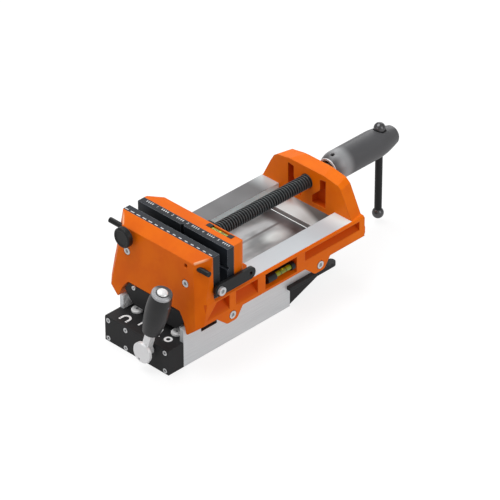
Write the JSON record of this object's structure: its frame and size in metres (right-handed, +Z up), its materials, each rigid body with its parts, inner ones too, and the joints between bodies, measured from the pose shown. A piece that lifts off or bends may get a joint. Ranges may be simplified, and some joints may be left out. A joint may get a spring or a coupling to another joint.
{
  "type": "magnetic drill vise",
  "caption": "Cast drill vise with sliding jaw, screw spindle and T-bar handle on a switchable magnet base, with a switch lever, work stop and bubble levels.",
  "frame": {"origin": "middle of the lower front edge of the magnet base, on its underside", "axes": "+Y along the vise from the switch lever to the spindle handle, +Z up, +X to the side of the stop arm"},
  "size_m": [0.1711, 0.465, 0.1509],
  "materials": {
    "black_paint": "satin black paint",
    "zinc": "bright zinc plated",
    "plate_steel": "brushed",
    "deck_steel": "polished",
    "magnet_steel": "plain",
    "orange_casting": "satin orange paint, rails machined bright",
    "jaw_steel": "black oxide, white scale marks on top",
    "black_oxide": "black oxide",
    "bronze": "turned",
    "black_plastic": "satin",
    "vial": "clear green",
    "barrel_grey": "satin dark grey",
    "grip_grey": "satin",
    "hub_steel": "bright"
  },
  "bodies": {
    "base": {"front_block": "black_paint", "block_screws": "zinc", "cap_screws": "zinc", "side_plate_left": "plate_steel", "side_plate_right": "plate_steel", "magnet_core": "magnet_steel", "cross_bar": "hub_steel", "deck_plate": "deck_steel", "rear_wedge": "black_paint", "strap_bars": "black_oxide", "shield_plate": "black_paint", "shield_screws": "zinc", "vise_frame": "orange_casting", "ear_screws": "zinc", "fixed_jaw_plate": "jaw_steel", "fixed_jaw_screws": "zinc", "spindle_bush": "bronze", "side_level_holder": "black_plastic", "side_level_vial": "vial", "arm_screw": "zinc"},
    "moving_jaw": {"moving_jaw": "orange_casting", "moving_jaw_plate": "jaw_steel", "moving_jaw_screws": "zinc", "jaw_level_holder": "black_plastic", "jaw_level_vial": "vial", "keeper_plate": "magnet_steel", "keeper_screws": "zinc", "spindle_retainer": "black_oxide", "retainer_screws": "zinc"},
    "spindle": {"spindle": "black_oxide", "handle_barrel": "barrel_grey", "set_screw": "black_oxide"},
    "t_bar": {"tbar_rod": "black_oxide", "tbar_balls": "black_oxide"},
    "lever": {"lever_hub": "hub_steel", "lever_neck": "hub_steel", "lever_grip": "grip_grey", "grip_cap": "hub_steel", "rotor_right": "magnet_steel"},
    "second_rotor": {"rotor_left": "magnet_steel"},
    "stop_rod": {"stop_rod": "black_oxide"},
    "clamp_knob": {"stop_knob": "black_plastic", "knob_stem": "zinc"},
    "stop_arm": {"stop_arm": "black_oxide"}
  },
  "joints": [
    {"name": "jaw_slide", "type": "slide", "parent": "base", "child": "moving_jaw", "axis": [0, 1, 0], "range_m": [-0.0133, 0.135]},
    {"name": "spindle_turn", "type": "hinge", "parent": "moving_jaw", "child": "spindle", "pos_m": [0, 0.3, 0.1165], "axis": [0, 1, 0], "range_deg": [-1197.1, 12150.1]},
    {"name": "t_bar_slide", "type": "slide", "parent": "spindle", "child": "t_bar", "axis": [0, 0, 1], "range_m": [0, 0.08]},
    {"name": "lever_turn", "type": "hinge", "parent": "base", "child": "lever", "pos_m": [0.024, 0, 0.0254], "axis": [0, 1, 0], "range_deg": [-67, 33]},
    {"name": "second_rotor_turn", "type": "hinge", "parent": "base", "child": "second_rotor", "pos_m": [-0.024, 0.1, 0.0254], "axis": [0, 1, 0], "range_deg": [-33, 67]},
    {"name": "stop_rod_slide", "type": "slide", "parent": "base", "child": "stop_rod", "axis": [1, 0, 0], "range_m": [-0.06, 0.035]},
    {"name": "clamp_knob_turn", "type": "hinge", "parent": "base", "child": "clamp_knob", "pos_m": [-0.0475, 0.03, 0.1346], "axis": [0, 1, 0], "range_deg": [-180, 0]},
    {"name": "stop_arm_swing", "type": "hinge", "parent": "base", "child": "stop_arm", "pos_m": [0.077, 0.0595, 0.105], "axis": [1, 0, 0], "range_deg": [0, 95]}
  ],
  "couplings": [
    {"joint": "spindle_turn", "follows": "jaw_slide", "rad_per_m": 1570.8},
    {"joint": "second_rotor_turn", "follows": "lever_turn", "ratio": -1}
  ]
}
